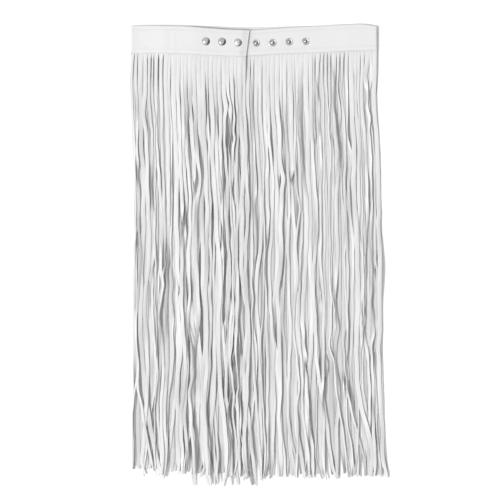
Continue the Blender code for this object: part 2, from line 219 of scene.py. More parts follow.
Edge = namedtuple("Edge", "x top bottom")
FLAP_EDGES = table(
    Edge,
    (-194.5, 343.8, 303.0), (-180.0, 344.0, 302.9), (-135.0, 343.4, 302.7),
    (-112.0, 342.8, 301.8), (-82.0, 340.5, 300.3), (-52.0, 338.3, 298.9),
    (-16.0, 337.0, 297.5),
)
FRONT_EDGES = table(
    Edge,
    (-131.0, 339.6, 301.0), (-95.0, 338.3, 300.0), (-52.0, 336.9, 298.7),
    (-14.0, 337.2, 299.2), (20.0, 339.7, 301.3), (60.0, 342.2, 303.1),
    (95.0, 343.8, 304.0), (130.0, 345.6, 306.3), (155.0, 346.2, 306.9),
    (176.0, 342.8, 307.2),
)
BACK_EDGES = table(
    Edge,
    (-194.5, 342.8, 304.0), (-150.0, 343.2, 304.2), (-90.0, 344.2, 304.5),
    (-20.0, 342.0, 302.0), (60.0, 343.6, 303.6), (176.0, 343.0, 304.5),
)

Side = namedtuple("Side", "y left right")
FRINGE_SIDES = table(
    Side,
    (-345.0, -195.5, 195.5), (-307.5, -193.5, 192.0), (-247.5, -194.5, 187.5),
    (-157.5, -191.0, 184.5), (-67.5, -192.0, 183.0), (22.5, -190.5, 183.0),
    (82.5, -189.8, 181.5), (142.5, -192.0, 180.0), (202.5, -193.5, 177.4),
    (262.5, -195.3, 175.6), (305.0, -194.2, 175.5),
)

# The hem of each fringe, as (x, y)
FLAP_HEM = (
    (-194.0, -320.0), (-180.0, -326.0), (-165.0, -333.0), (-130.0, -331.0), (-105.0, -327.5),
    (-60.0, -334.0), (-20.0, -336.0),
)
FRONT_HEM = (
    (-130.0, -327.0), (-101.0, -325.0), (-99.5, -346.5), (-88.0, -346.5), (-78.0, -341.5),
    (-58.0, -346.5), (-24.0, -345.5), (-12.0, -337.0), (35.0, -333.5), (62.0, -337.0),
    (85.0, -335.5), (130.0, -331.5), (160.0, -332.0), (195.0, -333.5),
)
BACK_HEM = (
    (-195.0, -320.0), (-100.0, -326.0), (0.0, -331.0), (100.0, -330.0), (195.0, -331.0),
)

Fringe = namedtuple("Fringe", "name strands first last tuck_left tuck_right edges hem seed")
FRINGES = table(
    Fringe,
    ("fringe_back", 60, -191.25, 172.75, -190.5, 172.0, BACK_EDGES, BACK_HEM, 11),
    ("fringe_front_right", 50, -128.0, 172.75, -130.4, 172.0, FRONT_EDGES, FRONT_HEM, 23),
    ("fringe_front_left", 28, -191.25, -23.6, -190.5, -21.2, FLAP_EDGES, FLAP_HEM, 37),
)

# Where the strands of the two front fringes are ruffled, and where an end is swept aside
Ruffle = namedtuple("Ruffle", "x y width height")
RUFFLES = table(
    Ruffle,
    (-50.0, 195.0, 9.0, 42.0), (118.0, 225.0, 15.0, 70.0),
    (163.0, 240.0, 7.0, 35.0), (-142.0, -58.0, 15.0, 48.0),
    (-45.0, -190.0, 14.0, 75.0), (-14.0, 20.0, 7.0, 120.0),
    (110.0, -140.0, 17.0, 60.0), (158.0, -110.0, 10.0, 40.0),
)
RUFFLED_KINKS = 3
RUFFLED_REACH = (10.0, 22.0)
RUFFLED_SIZE = (1.0, 3.4)
RUFFLED_ANGLE = (0.5, 1.3)
RUFFLED_OPENING = 0.7

Sweep = namedtuple("Sweep", "x shift")
SWEEPS = table(
    Sweep,
    (-187.0, 33.0), (-181.0, 30.0), (-62.0, 12.0), (70.0, -16.0),
    (98.0, 20.0), (104.0, 18.0), (150.0, -14.0),
)

Snap = namedtuple("Snap", "x y capped matt")
SNAPS = table(
    Snap,
    (-81.0, 320.2, True, 0.3), (-57.0, 319.8, True, 0.0), (-33.3, 318.3, True, 1.0),
    (-5.7, 317.9, False, 0.2), (18.9, 318.6, False, 0.35), (43.5, 319.8, False, 0.3),
    (68.2, 320.6, False, 0.35),
)


def read(rows, column, at):
    """A column's value at a place along a table, on a smooth curve through its rows."""
    places = np.array([row[0] for row in rows])
    values = np.array([getattr(row, column) for row in rows])
    slopes = np.gradient(values, places)
    at = np.clip(at, places[0], places[-1])
    row = np.clip(np.searchsorted(places, at) - 1, 0, len(places) - 2)
    run = places[row + 1] - places[row]
    u = (at - places[row]) / run
    v = 1 - u
    ends = v * v * (1 + 2 * u) * values[row] + u * u * (1 + 2 * v) * values[row + 1]
    return ends + u * v * run * (v * slopes[row] - u * slopes[row + 1])


def ease(share):
    share = np.clip(share, 0, 1)
    return share * share * (3 - 2 * share)


def bump(distance, width):
    return np.exp(-((distance / width) ** 2))


# How the ends of a ramp are rounded
RAMP_POINTS = 9
RAMP_ROUNDING = 9.0
RAMP_WINDOW = 2.2


def ramp(value, low, high):
    """Rises from 0 to 1 in a straight line with rounded ends."""
    places = np.linspace(-1.0, 1.0, RAMP_POINTS) * RAMP_ROUNDING
    weights = np.cos(places / RAMP_ROUNDING * math.pi / RAMP_WINDOW)
    value = np.asarray(value, float)[..., None] + places
    return np.sum(np.clip((value - low) / (high - low), 0, 1) * weights, axis=-1) / weights.sum()


def flap_level(x):
    onto_underlap = ramp(x, *ONTO_UNDERLAP)
    onto_studs = ramp(x, *ONTO_STUDS)
    level = FRONT_LEVEL + (LAP_LEVEL - FRONT_LEVEL) * onto_underlap
    level = level + (FLAP_LEVEL - LAP_LEVEL) * onto_studs
    return level - FLAP_DROOP * ease((x - DROOP_FROM) / (FLAP_END - DROOP_FROM))


def frame_shift():
    """What takes a point of the tables to its place in the frame, in millimetres."""
    low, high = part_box("snap_cap_1")
    middle = (low + high) / 2 / MM
    return np.array([middle.x - SNAPS[0].x, middle.y - SNAPS[0].y, 0.0])


SHIFT = frame_shift()


def linked(name, data):
    """A new object in the scene."""
    made = bpy.data.objects.new(name, data)
    bpy.context.scene.collection.objects.link(made)
    return made


def mesh_object(name, points, faces, finishes):
    mesh = bpy.data.meshes.new(name)
    placed = (np.asarray(points, float) + SHIFT) * MM
    mesh.from_pydata(placed.tolist(), [], faces.corners)
    for finish in finishes:
        mesh.materials.append(finish)
    mesh.polygons.foreach_set("material_index", faces.finish_of)
    mesh.shade_smooth()
    made = linked(name, mesh)
    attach(made, "root")
    return made


def point_values(obj, name, values):
    attribute = obj.data.attributes.new(name, "FLOAT", "POINT")
    attribute.data.foreach_set("value", np.asarray(values, np.float32))


class Faces:
    """Gathers the faces of strips and of rings, each with the number of its finish."""

    def __init__(self):
        self.corners = []
        self.finish_of = []

    def add(self, *corners, finish=0):
        self.corners.append([int(corner) for corner in corners])
        self.finish_of.append(finish)

    def strip(self, tops, unders):
        """Both faces and both sides of a strip, from the numbers of its points at each station."""
        for top, next_top, under, next_under in zip(tops, tops[1:], unders, unders[1:]):
            for k in range(len(top) - 1):
                self.add(top[k], next_top[k], next_top[k + 1], top[k + 1])
                self.add(under[k], under[k + 1], next_under[k + 1], next_under[k])
            self.add(top[0], under[0], next_under[0], next_top[0], finish=1)
            self.add(top[-1], next_top[-1], next_under[-1], under[-1], finish=1)

    def end(self, top, under, places=None):
        """The wall at a strip's last station, or at its first with top and under changed round."""
        for k in places or range(len(top) - 1):
            self.add(top[k], under[k], under[k + 1], top[k + 1], finish=1)

    def rings(self, rings):
        """The faces between rings of points, any of which may be a single point."""
        for low, high in zip(rings, rings[1:]):
            for side in range(max(len(low), len(high))):
                near = (low[side % len(low)], low[(side + 1) % len(low)])
                far = (high[(side + 1) % len(high)], high[side % len(high)])
                self.add(*dict.fromkeys(near + far))


def circle(radius, sides):
    """Points evenly round a circle, as (across, up)."""
    angles = [2 * math.pi * side / sides for side in range(sides)]
    return [(radius * math.cos(angle), radius * math.sin(angle)) for angle in angles]


# Materials


class Nodes:
    """Adds nodes to a material and links them."""

    def __init__(self, name):
        self.material = bpy.data.materials.new(name)
        self.material.use_nodes = True
        self.tree = self.material.node_tree
        self.shader = self.tree.nodes["Principled BSDF"]
        self.place = self.add("ShaderNodeTexCoord").outputs["Object"]

    def add(self, kind, **settings):
        """A node with its settings, each an option of the node or else the value of an input."""
        node = self.tree.nodes.new(kind)
        for key, value in settings.items():
            if hasattr(node, key):
                setattr(node, key, value)
            else:
                node.inputs[key.title()].default_value = value
        return node

    def link(self, start, end):
        self.tree.links.new(start, end)

    def fill(self, sockets, values):
        """Sets each socket to a number or a colour, or links it."""
        for socket, value in zip(sockets, values):
            if isinstance(value, (int, float)):
                socket.default_value = value
            elif isinstance(value, tuple):
                socket.default_value = (*value, 1)
            else:
                self.link(value, socket)

    def noise(self, scale, detail=3.0, roughness=0.5):
        """Noise over the object, drawn out along an axis where the scale is three numbers."""
        place = self.place
        if isinstance(scale, tuple):
            stretched = self.add("ShaderNodeVectorMath", operation="MULTIPLY")
            stretched.inputs[1].default_value = scale
            self.link(place, stretched.inputs[0])
            place, scale = stretched.outputs[0], 1.0
        node = self.add("ShaderNodeTexNoise", scale=scale, detail=detail, roughness=roughness)
        self.link(place, node.inputs["Vector"])
        return node.outputs["Fac"]

    def cells(self, scale):
        """The distance to the nearest edge between small cells."""
        node = self.add("ShaderNodeTexVoronoi", feature="DISTANCE_TO_EDGE", scale=scale)
        self.link(self.place, node.inputs["Vector"])
        return node.outputs["Distance"]

    def math(self, operation, a, b, clamp=False):
        node = self.add("ShaderNodeMath", operation=operation, use_clamp=clamp)
        self.fill(node.inputs, (a, b))
        return node.outputs[0]

    def span(self, value, low, high, to_low=0, to_high=1):
        """Maps a value from one range to another."""
        node = self.add("ShaderNodeMapRange")
        self.fill(node.inputs, (value, low, high, to_low, to_high))
        return node.outputs[0]

    def mix(self, share, first, second):
        node = self.add("ShaderNodeMix", data_type="RGBA")
        self.fill((node.inputs[0], node.inputs[6], node.inputs[7]), (share, first, second))
        return node.outputs[2]

    def value_of(self, name):
        return self.add("ShaderNodeAttribute", attribute_name=name).outputs["Fac"]

    def bumped(self, height, distance, strength, under=None):
        node = self.add("ShaderNodeBump", strength=strength, distance=distance)
        self.link(height, node.inputs["Height"])
        if under is not None:
            self.link(under, node.inputs["Normal"])
        return node.outputs["Normal"]

    def finished(self, base, roughness, normal, specular=0.5):
        """The material, with its shader filled in."""
        names = ("Base Color", "Roughness", "Normal", "Specular IOR Level")
        self.fill([self.shader.inputs[name] for name in names], (base, roughness, normal, specular))
        return self.material


def band_leather():
    """Smooth white leather with a fine pebbled grain, a little marked by handling, with painted shade along
    its top edge and darker round the needle holes.
    """
    made = Nodes("band_leather")
    patches = made.noise(22.0, 4.0)
    mottle = made.noise(260.0)
    # Painted shade along the top edge, and a darkening round the needle holes, both from the rim value
    rim = made.math("MULTIPLY", made.value_of("rim"), 0.45)
    base = made.mix(made.span(patches, 0.35, 0.65), (0.69, 0.69, 0.69), (0.71, 0.71, 0.71))
    base = made.mix(made.span(mottle, 0.3, 0.7, 0.0, 0.35), base, (0.668, 0.668, 0.666))
    base = made.mix(rim, base, (0.61, 0.61, 0.605))
    grain = made.bumped(made.span(made.cells(950.0), 0.0, 0.25), 0.00005, 0.55)
    waves = made.bumped(made.noise(120.0, 4.0), 0.0006, 0.35, grain)
    return made.finished(base, made.span(mottle, 0.3, 0.7, 0.44, 0.6), waves, 0.35)


def strand_leather():
    """Soft white leather: faint streaks along each strand, and a tone of its own, with painted shade along
    each strand's edges.
    """
    made = Nodes("fringe_leather")
    streaks = made.noise((900.0, 45.0, 900.0))
    patches = made.noise((60.0, 18.0, 60.0))
    # The back fringe's upper face is its inner side, darker than the front's: partly that side's own tone,
    # partly painted shade for the gaps between the front strands, through which it shows
    inner = made.math("MULTIPLY", made.value_of("inner"), 0.75)
    # Painted shade along each strand's edges, from the rim value
    rim = made.math("MULTIPLY", made.value_of("rim"), 0.8, clamp=True)
    base = made.mix(made.span(made.value_of("tone"), -1, 1), (0.682, 0.682, 0.682), (0.735, 0.735, 0.735))
    base = made.mix(made.span(streaks, 0.35, 0.7, 0.0, 0.4), base, (0.598, 0.598, 0.597))
    base = made.mix(made.span(patches, 0.35, 0.65, 0.0, 0.3), base, (0.72, 0.72, 0.72))
    base = made.mix(inner, base, (0.6, 0.6, 0.598))
    base = made.mix(rim, base, (0.422, 0.423, 0.422))
    grain = made.bumped(made.noise(1300.0), 0.00014, 0.6)
    creases = made.bumped(streaks, 0.0004, 0.6, grain)
    wrinkles = made.bumped(made.noise((110.0, 330.0, 110.0), 4.0, 0.6), 0.0007, 0.6, creases)
    return made.finished(base, made.span(streaks, 0.3, 0.7, 0.5, 0.72), wrinkles, 0.3)


def cut_leather(name, color):
    """The raw side of cut leather: matt and fibrous, with darker fibres in it."""
    made = Nodes(name)
    fibres = made.noise((1800.0, 500.0, 2600.0), 4.0, 0.6)
    base = made.mix(made.span(fibres, 0.3, 0.7), color, tuple(FIBRE_SHADE * value for value in color))
    rough = made.span(fibres, 0.3, 0.7, 0.8, 0.95)
    return made.finished(base, rough, made.bumped(fibres, 0.0002, 0.6), 0.2)


def thread_finish():
    """White sewing thread, with its twist."""
    made = Nodes("sewing_thread")
    twist = made.add("ShaderNodeTexWave", bands_direction="DIAGONAL", scale=900.0, distortion=1.5)
    made.link(made.place, twist.inputs["Vector"])
    fuzz = made.noise(2500.0)
    base = made.mix(made.span(fuzz, 0.3, 0.7), (0.70, 0.70, 0.69), (0.78, 0.78, 0.775))
    normal = made.bumped(twist.outputs["Fac"], 0.00008, 0.7)
    return made.finished(base, made.span(fuzz, 0.3, 0.7, 0.55, 0.7), normal)


def snap_metal():
    """Bright plated metal with fine wear, darker low down, and much darker round a stud's neck under its
    knob, which is painted shade.
    """
    made = Nodes("snap_metal")
    haze = made.noise(420.0, 4.0)
    scratches = made.noise((5200.0, 700.0, 2500.0))
    # Darker low down and round a stud's neck; the neck's darkening is painted shade
    darkened_low = made.value_of("low")
    matt = made.value_of("matt")
    base = made.mix(made.span(haze, 0.3, 0.7), (0.47, 0.47, 0.467), (0.60, 0.60, 0.597))
    base = made.mix(made.math("MULTIPLY", matt, 0.7), base, (0.6, 0.6, 0.6))
    base = made.mix(made.math("MULTIPLY", darkened_low, 0.85), base, (0.11, 0.11, 0.108))
    made.shader.inputs["Metallic"].default_value = 1.0
    rough = made.math("ADD", made.span(haze, 0.3, 0.7, 0.12, 0.24), made.math("MULTIPLY", darkened_low, 0.15))
    rough = made.math("ADD", rough, made.math("MULTIPLY", matt, 0.3))
    return made.finished(base, rough, made.bumped(scratches, 0.00001, 0.4))


# The waistband


def pressed(part):
    """Makes a round fold a little squarer, as leather folds when it is pressed flat."""
    return math.copysign(abs(part) ** FOLD_SQUARE, part)


def band_path():
    """The band's stations in order from the flap's end: x, level, and the Y of both edges."""
    left = BAND_LEFT + BAND_WALL / 2 + FOLD_RADIUS
    right = BAND_RIGHT - BAND_WALL / 2 - FOLD_RADIUS
    path = []

    def run(start, end, edges, level):
        for x in np.linspace(start, end, 1 + math.ceil(abs(end - start) / BAND_STEP)):
            if not path or x != path[-1][0]:
                path.append((x, level(x), read(edges, "top", x), read(edges, "bottom", x)))

    def fold(centre, start_angle, edges, next_edges):
        for step in range(1, FOLD_STEPS):
            share = step / FOLD_STEPS
            angle = start_angle + math.pi * share
            aside, up = (FOLD_RADIUS * pressed(part) for part in (math.cos(angle), math.sin(angle)))
            ends = [
                (1 - ease(share)) * read(edges, column, centre)
                + ease(share) * read(next_edges, column, centre)
                for column in ("top", "bottom")
            ]
            path.append((centre + aside, FOLD_LEVEL + up, *ends))

    run(FLAP_END, left, FLAP_EDGES, flap_level)
    fold(left, math.pi / 2, FLAP_EDGES, BACK_EDGES)
    run(left, right, BACK_EDGES, lambda x: BACK_LEVEL)
    fold(right, -math.pi / 2, BACK_EDGES, FRONT_EDGES)
    run(right, UNDERLAP_END, FRONT_EDGES, lambda x: FRONT_LEVEL)
    return np.array(path)


# Distances of the section's points from the band's two edges, and shares of what lies between
FROM_BOTTOM = (0.0, 0.3, 0.9, 1.8, 2.8, 3.6, 4.6, 5.4, 5.9, 6.2, 6.5, 6.8, 7.1, 7.6, 8.4, 9.4, 11.0)
FROM_TOP = (8.0, 6.6, 6.0, 5.7, 5.4, 5.1, 4.8, 4.2, 3.0, 1.8, 0.9, 0.3, 0.0)
BETWEEN = (0.12, 0.26, 0.4, 0.55, 0.7, 0.85)

# Relief of the band's face: the pull of the stitches, the margin that the heading lifts, its swells,
# the dips in the flap past the underlap's end, and the hollow round each snap
STITCH_PULL = 0.4
MARGIN_LIFT = 0.3
MARGIN = (0.6, 9.6)
MARGIN_SLOPES = (2.0, 1.8)
WIDE_SWELL = 0.35
SMALL_SWELL = 0.18
SWELL_SHARE = 0.5
SWELL_MARGIN = 6.0
Dip = namedtuple("Dip", "past width depth")
FLAP_DIPS = (Dip(2.0, 2.6, -0.16), Dip(-6.0, 5.0, 0.12))
SNAP_HOLLOW = Dip(6.0, 3.0, 0.22)
UNDER_SNAP = 0.7

# The band's edges: how far the rounding reaches, the wall left at the rim, and the darker rim, painted
# shade along the top edge that is weaker towards the left
EDGE_ROUND = 0.9
EDGE_WALL = 0.45
RIM_REACH = 1.6
TOP_RIM_FROM = (-160.0, -115.0)
TOP_RIM_SHADE = (0.2, 1.2)
BAND_SHARP_FROM = math.radians(50)


def swells(along, below_top):
    """Wide and small swells of leather that has seen wear."""
    wide = WIDE_SWELL * np.sin(along / 31.0 + 0.7) * np.sin(below_top / 13.0 + along / 90.0)
    return wide + SMALL_SWELL * np.sin(along / 12.3 + 2.1) * np.sin(below_top / 8.0 + 1.1)


def near_rows(above_bottom, below_top, width):
    """How near a point is to either row of stitches."""
    return bump(above_bottom - LOWER_ROW, width) + bump(below_top - UPPER_ROW, width)


class Band:
    """The band's middle surface, and the relief of its outer face."""

    def __init__(self):
        self.path = band_path()
        steps = np.linalg.norm(np.diff(self.path[:, :2], axis=0), axis=1)
        self.along = np.concatenate([[0], np.cumsum(steps)])
        direction = np.gradient(self.path[:, :2], self.along, axis=0)
        direction /= np.linalg.norm(direction, axis=1, keepdims=True)
        self.outward = np.stack([direction[:, 1], -direction[:, 0]], axis=1)
        flap = 1 + int(np.argmin(self.path[:, 0]))
        self.slant = np.zeros(len(self.path))
        self.slant[:flap] = FLAP_END_LEAN * np.clip(
            (self.path[:flap, 0] - LEAN_START) / (FLAP_END - LEAN_START), 0, 1
        )
        # How far the band's face is free to swell: not where it lies on the floor
        self.free = ease((self.path[:, 1] - FOLD_LEVEL) / (FRONT_LEVEL - FOLD_LEVEL))

    def at(self, along, column):
        return np.interp(along, self.along, column)

    def line(self, along):
        """The band's x, its level and both its edges, at places along it."""
        return (self.at(along, column) for column in self.path.T)

    def place(self, along, below_top, out):
        """A point at a distance along the band and down from its top edge, standing out."""
        x, z, top, bottom = self.line(along)
        out_x, out_z = (self.at(along, column) for column in self.outward.T)
        share = below_top / (top - bottom)
        return np.stack(
            np.broadcast_arrays(
                x + out_x * out + self.at(along, self.slant) * share,
                top - below_top,
                z + out_z * out,
            ),
            axis=-1,
        )

    def holes(self, along, below_top):
        """How near a point is to the needle holes between the stitches."""
        above_bottom = self.at(along, self.path[:, 2] - self.path[:, 3]) - below_top
        between = (0.5 - 0.5 * np.cos(2 * math.pi * along / STITCH_PITCH)) ** 2
        return near_rows(above_bottom, below_top, HOLE_WIDTH) * between

    def relief(self, along, below_top):
        """How far the outer face stands above its plain level."""
        x, _, top, bottom = self.line(along)
        free = self.at(along, self.free)
        above_bottom = top - bottom - below_top
        pull = 1 - STITCH_PULL + STITCH_PULL * np.cos(2 * math.pi * along / STITCH_PITCH)
        height = -GROOVE_DEPTH * pull * near_rows(above_bottom, below_top, GROOVE_WIDTH)
        lifted = ease((above_bottom - MARGIN[0]) / MARGIN_SLOPES[0])
        lifted = lifted * ease((MARGIN[1] - above_bottom) / MARGIN_SLOPES[1])
        height = height + MARGIN_LIFT * free * lifted
        inside = ease(above_bottom / SWELL_MARGIN) * ease(below_top / SWELL_MARGIN)
        height = height + free * SWELL_SHARE * swells(along, below_top) * inside
        on_flap = along < self.along[int(np.argmin(self.path[:, 0]))]
        for dip in FLAP_DIPS:
            height = height - np.where(on_flap, dip.depth * bump(x - UNDERLAP_END - dip.past, dip.width), 0)
        for snap in SNAPS:
            shown = on_flap if snap.capped else ~on_flap & (free > 0.5)
            away = np.hypot(x - snap.x, top - below_top - snap.y) - SNAP_HOLLOW.past
            sink = SNAP_HOLLOW.depth * bump(np.maximum(away, 0), SNAP_HOLLOW.width)
            height = height - np.where(shown, sink * np.where(away < 0, UNDER_SNAP, 1.0), 0)
        return height


def band_piece(band, finishes):
    stations = len(band.path)
    heights = band.path[:, 2] - band.path[:, 3]
    low, high = FROM_BOTTOM[-1], FROM_TOP[0]
    columns = [np.full(stations, value) for value in FROM_TOP[::-1]]
    columns += [high + (heights - high - low) * share for share in BETWEEN]
    columns += [heights - value for value in FROM_BOTTOM[::-1]]
    below = np.stack(columns, axis=1)
    across = below.shape[1]
    along = np.repeat(band.along[:, None], across, axis=1)
    inset = np.minimum(below, heights[:, None] - below)
    rounded = np.sqrt(1 - (1 - np.minimum(inset, EDGE_ROUND) / EDGE_ROUND) ** 2)
    half = BAND_WALL / 2
    inner = -half * (EDGE_WALL + (1 - EDGE_WALL) * rounded)
    outer = band.relief(along, below) - inner
    on_floor = band.free[:, None] < 0.5
    outer = np.where(on_floor, np.minimum(outer, half), outer)
    points = np.concatenate([
        band.place(along.ravel(), below.ravel(), face.ravel()) for face in (outer, inner)
    ])
    tops = np.arange(stations * across).reshape(stations, across)
    unders = tops + stations * across
    faces = Faces()
    faces.strip(tops, unders)
    faces.end(unders[0], tops[0])
    faces.end(tops[-1], unders[-1])
    made = mesh_object("waistband_leather", points, faces, finishes)
    made.data.set_sharp_from_angle(angle=BAND_SHARP_FROM)
    # The rim value: painted shade along the top edge, weaker towards the left, and a darkening round the
    # needle holes
    top_rim = np.interp(band.path[:, 0], TOP_RIM_FROM, TOP_RIM_SHADE)[:, None]
    rim = np.where(below < heights[:, None] / 2, top_rim, 0.0) * (1 - np.clip(inset / RIM_REACH, 0, 1))
    rim += HOLE_TONE * band.holes(along, below)
    point_values(made, "rim", np.tile(rim.ravel(), 2))
    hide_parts("waistband")


# Rings of a stitch: share of half its length, and share of the thread's girth
STITCH_RINGS = (
    (-1.0, 0.35), (-0.86, 0.8), (-0.5, 1.0), (0.0, 1.05), (0.5, 1.0), (0.86, 0.8), (1.0, 0.35),
)
STITCH_SIDES = 6
STITCH_STRAY = 0.05
STITCH_TILT = 0.03
STITCH_SINK = 1.1
STITCH_END_SINK = 0.9
LOWER_ROW_LIFT = 0.28
STITCH_SEED = 5


def stitches(band, name, row, from_top, finish):
    """One row of stitches, each a short sunk length of thread."""
    points = []
    faces = Faces()
    draws = np.random.default_rng(STITCH_SEED)
    half = STITCH_LENGTH / 2
    for centre in np.arange(STITCH_PITCH, band.along[-1] - STITCH_PITCH / 2, STITCH_PITCH):
        _, _, top, bottom = band.line(centre)
        below = row if from_top else top - bottom - row
        below += draws.normal(0, STITCH_STRAY)
        tilt = draws.normal(0, STITCH_TILT)
        lift = LOWER_ROW_LIFT * band.at(centre, band.free) * (not from_top)
        rings = []
        for share, girth in STITCH_RINGS:
            rings.append(range(len(points), len(points) + STITCH_SIDES))
            sunk = THREAD_RADIUS * (STITCH_SINK + STITCH_END_SINK * share * share)
            out = BAND_WALL / 2 + lift - sunk
            spot = centre + half * share
            for across, up in circle(THREAD_RADIUS * girth, STITCH_SIDES):
                points.append(band.place(spot, below + across + tilt * half * share, out + up))
        faces.rings(rings)
        faces.add(*reversed(rings[0]))
        faces.add(*rings[-1])
    mesh_object(name, points, faces, [finish])


# Snaps


def arc(centre, radius, start, end, steps):
    """Points (distance from the axis, height) on an arc, its angles in degrees."""
    angles = np.radians(np.linspace(start, end, steps + 1))
    return [
        (centre[0] + radius[0] * math.cos(angle), centre[1] + radius[1] * math.sin(angle))
        for angle in angles
    ]


CAP_PROFILE = [
    (0.0, 0.15), (5.2, 0.15), (5.3, 0.0),
    *arc((5.45, 0.42), (0.55, 0.42), -90, 60, 8),
    (5.42, 0.86), (5.15, 1.2), (4.8, 1.55), (4.35, 1.88), (3.8, 2.16), (3.2, 2.36),
    (2.5, 2.51), (1.7, 2.61), (0.85, 2.66), (0.0, 2.68),
]
STUD_PROFILE = [
    (0.0, 0.0), (4.9, 0.0),
    *arc((4.95, 0.35), (0.55, 0.35), -90, 110, 8),
    (4.1, 0.45), (3.2, 0.42),
    *arc((2.75, 0.85), (0.5, 0.42), 255, 190, 4),
    (2.08, 0.9),
    *arc((0.0, 1.05), (2.2, 1.57), -5, 90, 12),
]
SNAP_SIDES = 56
LOW_HEIGHT = 0.55
NECK_RADIUS = 3.0
NECK_HEIGHT = 1.15
NECK_SHADE = 0.9
FLANGE_TONE = 0.12
SNAP_TIP = 0.012
SNAP_SEAT = 0.05
SNAP_SEED = 41
SNAP_SHARP_FROM = math.radians(38)
ON_AXIS = 1e-6


def turned(name, profile, snap, foot, tip, finish):
    """A solid of revolution that stands on the band, tipped a little."""
    points = []
    rings = []
    for radius, height in profile:
        around = circle(radius, SNAP_SIDES) if radius > ON_AXIS else [(0.0, 0.0)]
        rings.append(range(len(points), len(points) + len(around)))
        points += [(x, y, height) for x, y in around]
    faces = Faces()
    faces.rings(rings)
    points = np.array(points)
    # Darker low down, a little darker over a stud's flange, and much darker round its neck under the knob,
    # which is painted shade
    low_darkening = np.clip((LOW_HEIGHT - points[:, 2]) / LOW_HEIGHT, 0, 1)
    if profile is STUD_PROFILE:
        flange = points[:, 2] < NECK_HEIGHT
        neck = (np.hypot(points[:, 0], points[:, 1]) < NECK_RADIUS) & flange
        low_darkening = np.maximum(np.maximum(low_darkening, FLANGE_TONE * flange), NECK_SHADE * neck)
    points[:, 2] += points[:, 0] * tip[0] + points[:, 1] * tip[1]
    points += np.array([snap.x, snap.y, foot])
    made = mesh_object(name, points, faces, [finish])
    made.data.set_sharp_from_angle(angle=SNAP_SHARP_FROM)
    point_values(made, "low", low_darkening)
    point_values(made, "matt", np.full(len(points), snap.matt))
    return made


def make_snaps(finish):
    draws = np.random.default_rng(SNAP_SEED)
    seat = BAND_WALL / 2 - SNAP_SEAT
    for number, snap in enumerate(SNAPS, start=1):
        tip = draws.normal(0, SNAP_TIP, 2)
        stud = turned(f"stud_{number}", STUD_PROFILE, snap, FRONT_LEVEL + seat, tip, finish)
        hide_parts(f"snap_stud_{number}")
        if snap.capped:
            cap = turned(f"cap_{number}", CAP_PROFILE, snap, FLAP_LEVEL + seat, tip, finish)
            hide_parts(f"snap_cap_{number}")


# The fringe


def heading_level(fringe, x):
    """The level at which the heading lies, on the inner side of its stretch of the band."""
    if fringe.edges is BACK_EDGES:
        return BACK_LEVEL + HEADING_DROP + 0 * x
    if fringe.edges is FRONT_EDGES:
        return FRONT_LEVEL - HEADING_DROP + 0 * x
    return flap_level(x) - HEADING_DROP


def waves(sizes, draws):
    """Sine waves as (size, length, phase), each with its length and phase drawn at random."""
    return [
        (size, draws.uniform(shortest, longest), draws.uniform(0, 2 * math.pi))
        for size, shortest, longest in sizes
    ]


def add_up(made_waves, down):
    return sum(size * np.sin(2 * math.pi * down / length + phase) for size, length, phase in made_waves)


def groups(count, sizes, draws):
    """The group that each strand belongs to."""
    return np.repeat(np.arange(count), draws.integers(*sizes, count, endpoint=True))[:count]


def either_way(draws, limits):
    """A size drawn between two limits, to one side or the other."""
    return draws.uniform(*limits) * draws.choice((-1, 1))


def bends(count, places, reach, sizes, draws):
    """Places where a strand bends, each with its share of the length, its reach and its size."""
    return [
        (draws.uniform(*places), draws.uniform(*reach), either_way(draws, sizes))
        for _ in range(count)
    ]


def draw_kinks(draws):
    """Where a strand steps aside."""
    count = draws.integers(*KINK_COUNTS) if draws.uniform() < KINKED_SHARE else 0
    return bends(count, *KINKS, draws)


def draw_curls(draws):
    """Where a strand leans over."""
    curly = draws.uniform() < CURLY_SHARE
    count, angles = (CURLS + CURLY_MORE, CURLY_ANGLE) if curly else (CURLS, CURL_ANGLE)
    curls = bends(count, CURL_PLACES, CURL_REACH, angles, draws)
    if draws.uniform() < END_CURL_SHARE:
        angle = either_way(draws, END_CURL_ANGLE)
        curls.append((1.0, draws.uniform(*END_CURL_REACH), angle))
    return curls


def ruffled(ruffle, top, hem, draws):
    """Kinks and curls for a strand that runs through a ruffled stretch."""
    kinks = []
    curls = []
    for _ in range(RUFFLED_KINKS):
        place = (top - ruffle.y - draws.uniform(-1, 1) * ruffle.height) / (top - hem)
        kinks.append((place, draws.uniform(*RUFFLED_REACH), either_way(draws, RUFFLED_SIZE)))
        curls.append((place, draws.uniform(*CURL_REACH), either_way(draws, RUFFLED_ANGLE)))
    return kinks, curls


def within(x, stretch):
    return stretch[0] < x < stretch[1]


def draw_opening(root_x, draws, more_draws):
    """How much narrower a strand gets than its cut, and how far down it is that narrow."""
    early = draws.uniform() < EARLY_SHARE and not within(root_x, NEVER_EARLY)
    early = early or any(within(root_x, stretch) for stretch in EARLY_STRETCHES)
    more = EARLY_MORE * early * more_draws.uniform(0, 1) ** EARLY_POWER
    opening = min(draws.exponential(OPEN_MEAN) + more, OPEN_MOST)
    if within(root_x, CLOSED_STRETCH):
        opening *= CLOSED_SHARE
    return opening, draws.uniform(*(EARLY_OVER if early else OPEN_OVER))


def draw_gathers(middles, draws):
    """How far each strand's end moves towards the others of its bunch."""
    bunch_of = groups(len(middles), GATHERED, draws)
    gathers = np.zeros(len(middles))
    for bunch in np.unique(bunch_of):
        members = bunch_of == bunch
        goal = middles[members].mean() + draws.normal(0, GATHER_SHIFT)
        gathers[members] = draws.uniform(*GATHER_SHARE) * (goal - middles[members])
    return gathers


